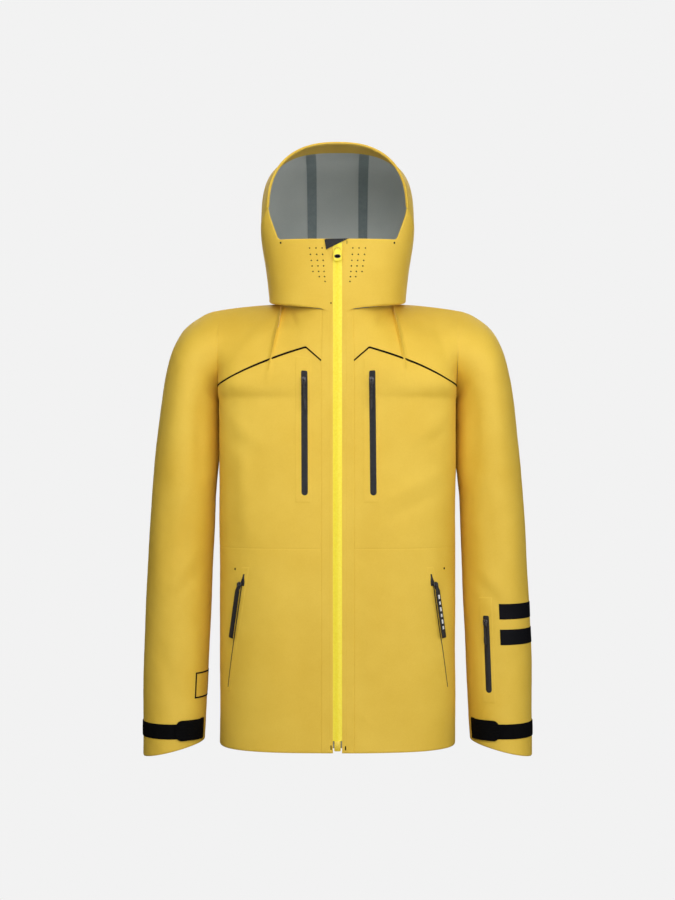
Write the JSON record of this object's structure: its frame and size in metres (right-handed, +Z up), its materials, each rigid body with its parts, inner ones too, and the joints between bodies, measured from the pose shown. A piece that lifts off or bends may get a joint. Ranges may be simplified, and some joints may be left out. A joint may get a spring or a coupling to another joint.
{
  "type": "hardshell jacket",
  "caption": "Hooded waterproof ski shell with full front zip, chest, hand and sleeve pocket zips, and cuffs closed by hook-and-loop tabs.",
  "frame": {"origin": "under the top of the hang loop's arch, inside the back of the neck", "axes": "+Z up, -Y is the front of the jacket, +X is the wearer's left"},
  "size_m": [0.6672, 0.287, 1.0435],
  "materials": {
    "shell_yellow": "matte woven face",
    "zip_yellow": "bright coil and tape",
    "zip_black": "water-resistant tape",
    "trim_black": "moulded hook-and-loop",
    "print_black": "welded film",
    "facing_gold": "bonded facing",
    "lining_grey": "backer",
    "tape_grey": "seam tape",
    "slider_metal": "dark lacquer",
    "slider_yellow": "lacquer",
    "pull_black": "cord-and-film pull"
  },
  "bodies": {
    "shell": {"front_placket_left": "shell_yellow", "front_lower_left": "shell_yellow", "front_chest_left": "shell_yellow", "front_yoke_left": "shell_yellow", "yoke_piping_left": "print_black", "front_placket_right": "shell_yellow", "front_lower_right": "shell_yellow", "front_chest_right": "shell_yellow", "front_yoke_right": "shell_yellow", "yoke_piping_right": "print_black", "back_lower": "shell_yellow", "back_upper": "shell_yellow", "hem_facing": "facing_gold", "neck_tape": "tape_grey", "hang_loop": "zip_black", "hood_center": "shell_yellow", "hood_side_left": "shell_yellow", "chin_panel_left": "shell_yellow", "hood_side_right": "shell_yellow", "chin_panel_right": "shell_yellow", "hood_brim": "facing_gold", "hood_seam_tape": "tape_grey", "front_zip_tape_left": "zip_yellow", "front_zip_tape_right": "zip_yellow", "front_zip_box": "slider_yellow", "storm_flap": "lining_grey", "chin_garage": "zip_black", "chest_pocket_bag": "lining_grey", "chest_zip_tape_left": "zip_black", "chest_zip_tape_right": "zip_black", "hand_pocket_bag": "lining_grey", "hand_zip_tape_left": "zip_black", "hand_zip_tape_right": "zip_black"},
    "sleeve_left": {"sleeve_left_front": "shell_yellow", "sleeve_left_back": "shell_yellow", "cuff_facing_left": "facing_gold", "cuff_loop_strip_left": "trim_black", "sleeve_zip_tape": "zip_black", "sleeve_pocket_bag": "lining_grey", "sleeve_bars": "print_black"},
    "cuff_tab_left": {"cuff_tab_left": "trim_black"},
    "chest_zip_slider_left": {"chest_zip_slider_left": "slider_metal"},
    "chest_zip_pull_left": {"chest_zip_pull_left": "pull_black"},
    "hand_zip_slider_left": {"hand_zip_slider_left": "slider_metal"},
    "hand_zip_pull_left": {"hand_zip_pull_left": "pull_black"},
    "sleeve_right": {"sleeve_right_front": "shell_yellow", "sleeve_right_back": "shell_yellow", "cuff_facing_right": "facing_gold", "cuff_loop_strip_right": "trim_black", "sleeve_outline": "print_black"},
    "cuff_tab_right": {"cuff_tab_right": "trim_black"},
    "chest_zip_slider_right": {"chest_zip_slider_right": "slider_metal"},
    "chest_zip_pull_right": {"chest_zip_pull_right": "pull_black"},
    "hand_zip_slider_right": {"hand_zip_slider_right": "slider_metal"},
    "hand_zip_pull_right": {"hand_zip_pull_right": "pull_black"},
    "front_zip_slider": {"front_zip_slider": "slider_yellow"},
    "front_zip_pull": {"front_zip_pull": "slider_yellow"},
    "sleeve_zip_slider": {"sleeve_zip_slider": "slider_metal"},
    "sleeve_zip_pull": {"sleeve_zip_pull": "pull_black"}
  },
  "joints": [
    {"name": "front_zip_slide", "type": "slide", "parent": "shell", "child": "front_zip_slider", "axis": [0, -0.0283, -0.9996], "range_m": [0, 0.78]},
    {"name": "front_zip_pull_swing", "type": "hinge", "parent": "front_zip_slider", "child": "front_zip_pull", "pos_m": [0, -0.20211, 0.05504], "axis": [-1, 0, 0], "range_deg": [0, 170]},
    {"name": "chest_zip_slide_left", "type": "slide", "parent": "shell", "child": "chest_zip_slider_left", "axis": [0, -0.0283, -0.9996], "range_m": [0, 0.18]},
    {"name": "chest_zip_pull_swing_left", "type": "hinge", "parent": "chest_zip_slider_left", "child": "chest_zip_pull_left", "pos_m": [0.05605, -0.21283, -0.15929], "axis": [-1, 0, 0], "range_deg": [0, 170]},
    {"name": "hand_zip_slide_left", "type": "slide", "parent": "shell", "child": "hand_zip_slider_left", "axis": [0.1407, 0.1126, -0.9836], "range_m": [0, 0.16]},
    {"name": "hand_zip_pull_swing_left", "type": "hinge", "parent": "hand_zip_slider_left", "child": "hand_zip_pull_left", "pos_m": [0.16456, -0.19429, -0.49888], "axis": [-0.7385, -0.6498, -0.18], "range_deg": [0, 170]},
    {"name": "chest_zip_slide_right", "type": "slide", "parent": "shell", "child": "chest_zip_slider_right", "axis": [0, -0.0283, -0.9996], "range_m": [0, 0.18]},
    {"name": "chest_zip_pull_swing_right", "type": "hinge", "parent": "chest_zip_slider_right", "child": "chest_zip_pull_right", "pos_m": [-0.05605, -0.21283, -0.15929], "axis": [-1, 0, 0], "range_deg": [0, 170]},
    {"name": "hand_zip_slide_right", "type": "slide", "parent": "shell", "child": "hand_zip_slider_right", "axis": [-0.1407, 0.1126, -0.9836], "range_m": [0, 0.16]},
    {"name": "hand_zip_pull_swing_right", "type": "hinge", "parent": "hand_zip_slider_right", "child": "hand_zip_pull_right", "pos_m": [-0.16456, -0.19429, -0.49888], "axis": [-0.7385, 0.6498, 0.18], "range_deg": [0, 170]},
    {"name": "sleeve_zip_slide", "type": "slide", "parent": "sleeve_left", "child": "sleeve_zip_slider", "axis": [0.0368, 0.0032, -0.9993], "range_m": [0, 0.11]},
    {"name": "sleeve_zip_pull_swing", "type": "hinge", "parent": "sleeve_zip_slider", "child": "sleeve_zip_pull", "pos_m": [0.24592, -0.16089, -0.56427], "axis": [-0.8696, 0.4928, -0.0305], "range_deg": [0, 170]},
    {"name": "sleeve_swing_left", "type": "hinge", "parent": "shell", "child": "sleeve_left", "pos_m": [0.202, -0.084, -0.11312], "axis": [-1, 0, 0], "range_deg": [-30, 60]},
    {"name": "cuff_tab_peel_left", "type": "hinge", "parent": "sleeve_left", "child": "cuff_tab_left", "pos_m": [0.23064, -0.12933, -0.74821], "axis": [0.0562, -0.0245, -0.9981], "range_deg": [0, 75]},
    {"name": "sleeve_swing_right", "type": "hinge", "parent": "shell", "child": "sleeve_right", "pos_m": [-0.202, -0.084, -0.11312], "axis": [-1, 0, 0], "range_deg": [-30, 60]},
    {"name": "cuff_tab_peel_right", "type": "hinge", "parent": "sleeve_right", "child": "cuff_tab_right", "pos_m": [-0.23064, -0.12933, -0.74821], "axis": [0.0562, 0.0245, 0.9981], "range_deg": [0, 75]}
  ]
}
